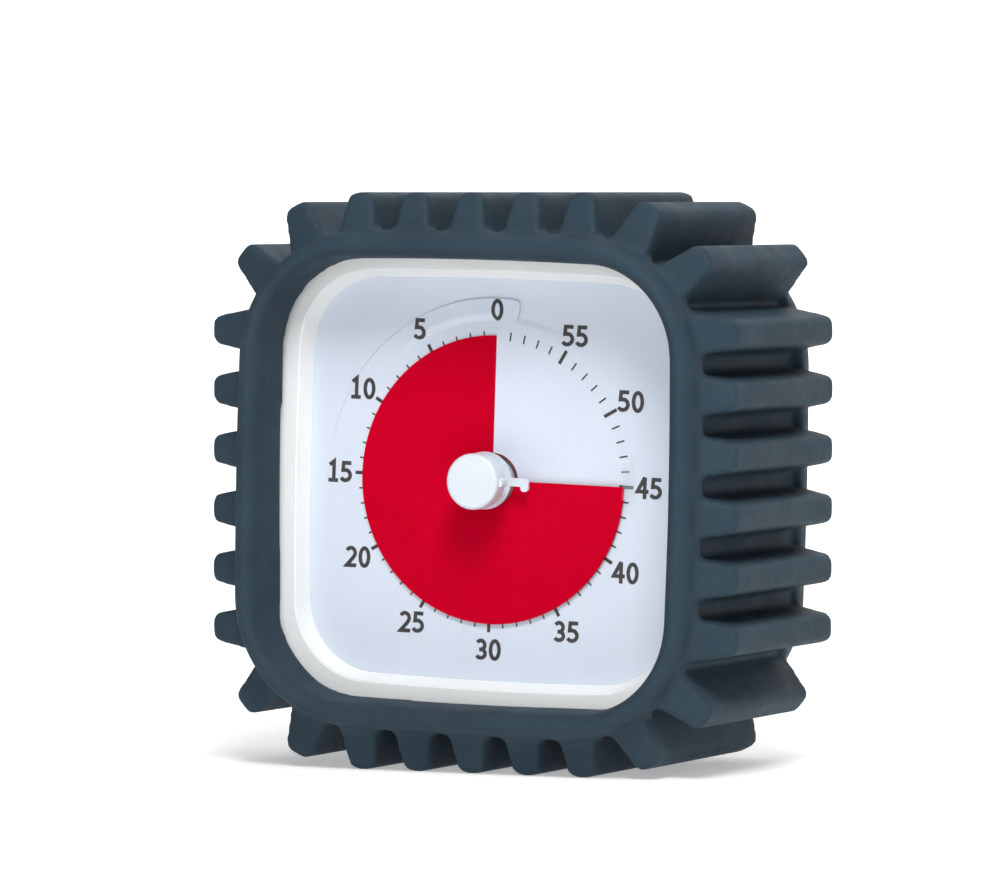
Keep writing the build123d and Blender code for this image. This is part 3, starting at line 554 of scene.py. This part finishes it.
def dial_card_piece():
    """The printed card: slit, lifted tab, curved cut and outer border in one sheet."""
    face = CARD_THICKNESS / 2
    inner, border, tab = [], [], []
    for angle in range(361):
        inner.append([dial_point(r, angle, card_height(r, angle) + face) for r in CARD_RINGS])
        cut = CUT_WIDTH * ease((FLAP_ANGLE - angle) / CUT_FADE)
        edge = card_edge(angle)
        radii = [FLAP_RADIUS + cut, (FLAP_RADIUS + edge) / 2 + cut / 2, edge]
        border.append([dial_point(r, angle, face) for r in radii])
    middle = (TAB_INNER + FLAP_RADIUS) / 2
    for past in TAB_STEPS:
        short = max(0.0, TAB_CORNER - radians(past) * middle)
        inset = TAB_CORNER - (TAB_CORNER ** 2 - short ** 2) ** 0.5
        radii = [TAB_INNER + inset, TAB_INNER + TAB_CORNER, middle]
        radii += [FLAP_RADIUS - TAB_CORNER, FLAP_RADIUS - inset]
        tab.append([dial_point(r, past - TAB_REACH, TAB_LIFT + face) for r in radii])
    mesh = thicken("printed_dial", *sheet(inner, border, tab), CARD_THICKNESS)
    shade_smooth(mesh, SMOOTH_ANGLE)
    card = add_piece("printed_dial", mesh, "timer_body", MATERIALS["card"])
    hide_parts("dial_card")


def winding_disc():
    """Red helical disc at a finer step than its CAD solid."""
    columns = []
    for angle in range(SET_ANGLE - 360, SET_ANGLE + 1):
        height = DISC_PITCH * angle / 360 + DISC_THICKNESS / 2
        columns.append([dial_point(r, angle, height) for r in DISC_RINGS])
    mesh = thicken("winding_disc", *sheet(columns), DISC_THICKNESS)
    shade_smooth(mesh, SMOOTH_ANGLE)
    disc = add_piece("winding_disc", mesh, "disc", MATERIALS["red_film"])
    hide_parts("red_disc")


# --- printed scale ---------------------------------------------------------------------------
def arc(cx, cz, rx, rz, start, end, steps=14):
    """Points along part of an ellipse, angles in degrees counter-clockwise from +x."""
    turns = [radians(start + (end - start) * i / steps) for i in range(steps + 1)]
    return [(cx + rx * cos(t), cz + rz * sin(t)) for t in turns]


HALF_W, HALF_H = (NUMERAL_WIDTH - STROKE) / 2, (NUMERAL_HEIGHT - STROKE) / 2
DIGIT_STROKES = {
    "0": [arc(0, 0, HALF_W, HALF_H, 0, 360, 40)],
    "1": [[(-0.75, 1.15), (0.12, HALF_H + 0.2), (0.12, -HALF_H)],
          [(-0.95, -HALF_H), (1.0, -HALF_H)]],
    "2": [arc(-0.08, 0.66, 0.86, 0.91, 155, -20)
          + [(0.45, -0.15), (-0.88, -HALF_H), (1.05, -HALF_H)]],
    "3": [arc(-0.12, 0.76, 0.78, 0.81, 150, -90) + [(-0.42, -0.05)],
          [(-0.42, -0.05)] + arc(-0.12, -0.80, 0.90, 0.77, 90, -150)],
    "4": [[(0.42, HALF_H + 0.33), (-1.0, -0.62), (1.18, -0.62)],
          [(0.42, HALF_H + 0.33), (0.42, -HALF_H - 0.33)]],
    "5": [[(0.92, HALF_H), (-0.62, HALF_H), (-0.72, 0.28)]
          + arc(-0.22, -0.62, 0.98, 0.95, 100, -150)],
}


def ribbon(points, width):
    """Outline of a stroke along points, as a strip of left and right points."""
    closed = hypot(points[0][0] - points[-1][0], points[0][1] - points[-1][1]) < 1e-6
    if closed:
        points = points[:-1]
    count = len(points)
    left, right = [], []
    for i, (x, z) in enumerate(points):
        before = points[i - 1] if i or closed else None
        after = points[(i + 1) % count] if i < count - 1 or closed else None
        ways = [unit(before, (x, z))] if before else []
        ways += [unit((x, z), after)] if after else []
        across = Vector((-sum(w[1] for w in ways), sum(w[0] for w in ways))).normalized()
        along = abs(across.dot(Vector((-ways[0][1], ways[0][0]))))
        reach = width / 2 / max(along, MITRE_LIMIT)
        left.append((x + across.x * reach, z + across.y * reach))
        right.append((x - across.x * reach, z - across.y * reach))
    return left, right, closed


def unit(start, end):
    """Direction from one point to another, one unit long."""
    dx, dz = end[0] - start[0], end[1] - start[1]
    length = hypot(dx, dz)
    return dx / length, dz / length


def flat_solid(name, left, right, closed):
    """Strip between two rows of points, one millimetre thick about the plane y = 0."""
    count = len(left)
    vertices = [(x, y, z) for y in (-0.5, 0.5) for row in (left, right) for x, z in row]
    back = 2 * count
    faces = []
    for i in range(count if closed else count - 1):
        j = (i + 1) % count
        faces.append((i, j, count + j, count + i))
        faces.append((back + count + i, back + count + j, back + j, back + i))
        faces.append((j, i, back + i, back + j))
        faces.append((count + i, count + j, back + count + j, back + count + i))
    if not closed:
        last = count - 1
        faces.append((0, count, back + count, back))
        faces.append((count + last, last, back + last, back + count + last))
    return mesh_from(name, vertices, faces)


def fused(meshes):
    """One mesh that is the union of overlapping closed ones."""
    base, *others = [link_object("stroke", mesh) for mesh in meshes]
    for other in others:
        union = base.modifiers.new("Union", "BOOLEAN")
        union.operation, union.object, union.solver = "UNION", other, "EXACT"
    result = evaluated_mesh(base)
    for other in others:
        bpy.data.objects.remove(other)
    return result


def digit_meshes():
    """Every digit as one flat solid, its overlapping strokes fused."""
    return {digit: fused([flat_solid("stroke", *ribbon(points, STROKE)) for points in strokes])
            for digit, strokes in DIGIT_STROKES.items()}


def stamp(work, mesh, x, z, turn):
    """Add a copy of a flat solid to the printed scale, laid on the card's surface."""
    added = {}
    for vertex in mesh.vertices:
        px = x + vertex.co.x * cos(turn) - vertex.co.z * sin(turn)
        pz = z + vertex.co.x * sin(turn) + vertex.co.z * cos(turn)
        level = INK if vertex.co.y < 0 else -INK
        added[vertex.index] = work.verts.new(in_front(px, pz, surface_height(px, pz) + level))
    for polygon in mesh.polygons:
        work.faces.new([added[i] for i in polygon.vertices])


def printed_scale():
    """Minute ticks, five-minute ticks and numerals, as one thin layer of ink."""
    digits = digit_meshes()
    lean = radians(-DIAL_TURN)
    work = bmesh.new()
    for minute in range(1, 60):
        inner, outer, width = MAJOR_TICK if minute % 5 == 0 else MINOR_TICK
        radii = [inner + (outer - inner) * i / TICK_STEPS for i in range(TICK_STEPS + 1)]
        left, right = [[(side * width, r) for r in radii] for side in (0.5, -0.5)]
        tick = flat_solid("tick", left, right, False)
        stamp(work, tick, 0, 0, radians(minute * 6) + lean)
        bpy.data.meshes.remove(tick)
    for number in range(0, 60, 5):
        x, z = dial_place(NUMERAL_RADIUS, number * 6)
        text = str(number)
        for i, digit in enumerate(text):
            shift = (i - (len(text) - 1) / 2) * (NUMERAL_WIDTH + NUMERAL_GAP)
            stamp(work, digits[digit], x + shift * cos(lean), z + shift * sin(lean), lean)
    bmesh.ops.recalc_face_normals(work, faces=work.faces)
    mesh = bpy.data.meshes.new("printed_scale")
    work.to_mesh(mesh)
    work.free()
    add_piece("printed_scale", mesh, "timer_body", INK_MATERIAL)


# --- stage, light and camera -----------------------------------------------------------------
def pale_floor():
    """Bright studio paper, lit a little from below."""
    shader = Shader("pale_floor")
    shader.colour(shader.ramp(shader.noise(300.0), (0.82, 0.82, 0.82), (0.84, 0.84, 0.84)))
    shader.rough(0.6, 0.7, 200.0)
    shader.set(Specular_IOR_Level=0.0, Emission_Color=(1, 1, 1, 1), Emission_Strength=0.36)
    return shader.material


def stage():
    """A pale floor that curves up into a backdrop, in metres."""
    width, front, back, height, bend, steps = 40.0, -20.0, 2.5, 3.0, 1.2, 12
    turns = [i * pi / 2 / steps for i in range(1, steps + 1)]
    profile = [(front, 0.0), (back - bend, 0.0)]
    profile += [(back - bend + bend * sin(t), bend - bend * cos(t)) for t in turns]
    profile.append((back, height))
    vertices = [(x, y, z) for x in (-width / 2, width / 2) for y, z in profile]
    count = len(profile)
    faces = [(i, i + 1, count + i + 1, count + i) for i in range(count - 1)]
    mesh = mesh_from("floor", vertices, faces)
    mesh.shade_smooth()
    mesh.materials.append(pale_floor())
    floor = link_object("floor", mesh)


def aim_along(item, direction):
    """Turn a lamp or camera to look along a direction, its top up."""
    item.rotation_euler = direction.to_track_quat("-Z", "Y").to_euler()


def softbox(name, place, target, size, power):
    """Square lamp at a place, facing a target, both in metres; power in watts."""
    lamp = bpy.data.lights.new(name, "AREA")
    lamp.shape, lamp.size, lamp.energy = "SQUARE", size, power
    item = link_object(name, lamp)
    item.location = place
    aim_along(item, Vector(target) - Vector(place))


def lights():
    """Dim white surroundings and four softboxes, the last one for the backdrop."""
    world = bpy.data.worlds.new("studio")
    world.use_nodes = True
    background = world.node_tree.nodes["Background"]
    background.inputs["Color"].default_value = (1, 1, 1, 1)
    background.inputs["Strength"].default_value = 0.05
    bpy.context.scene.world = world
    middle = (0, 0, CENTRE_Z)
    softbox("key", (0.40, -0.725, 1.01), middle, 0.45, 13.0)
    softbox("camera_side", (0.30, -1.42, 0.32), middle, 0.80, 5.0)
    softbox("top", (0.0, 0.15, 1.25), middle, 0.80, 5.5)
    softbox("backdrop_wash", (0, 1.3, 1.6), (0, 2.5, 0.5), 1.5, 32.0)


def camera():
    """Long lens, to the right of the dial's axis and just above it."""
    turn, lift = radians(CAMERA_TURN), radians(CAMERA_LIFT)
    right, up = CAMERA_AIM
    aim = Vector((right * MM, FRONT_Y, CENTRE_Z + up * MM))
    forward = Vector((-sin(turn) * cos(lift), cos(turn) * cos(lift), -sin(lift)))
    data = bpy.data.cameras.new("camera")
    data.sensor_width, data.lens = SENSOR_WIDTH, CAMERA_LENS
    data.clip_start, data.clip_end = 0.05, 20.0
    item = link_object("camera", data)
    item.location = aim - CAMERA_DISTANCE * MM * forward
    aim_along(item, forward)
    bpy.context.scene.camera = item


bpy.context.scene.view_settings.view_transform = "Standard"
dress_cad_nodes()
ribbed_sleeve()
lens_piece()
dial_card_piece()
winding_disc()
printed_scale()
stage()
lights()
camera()
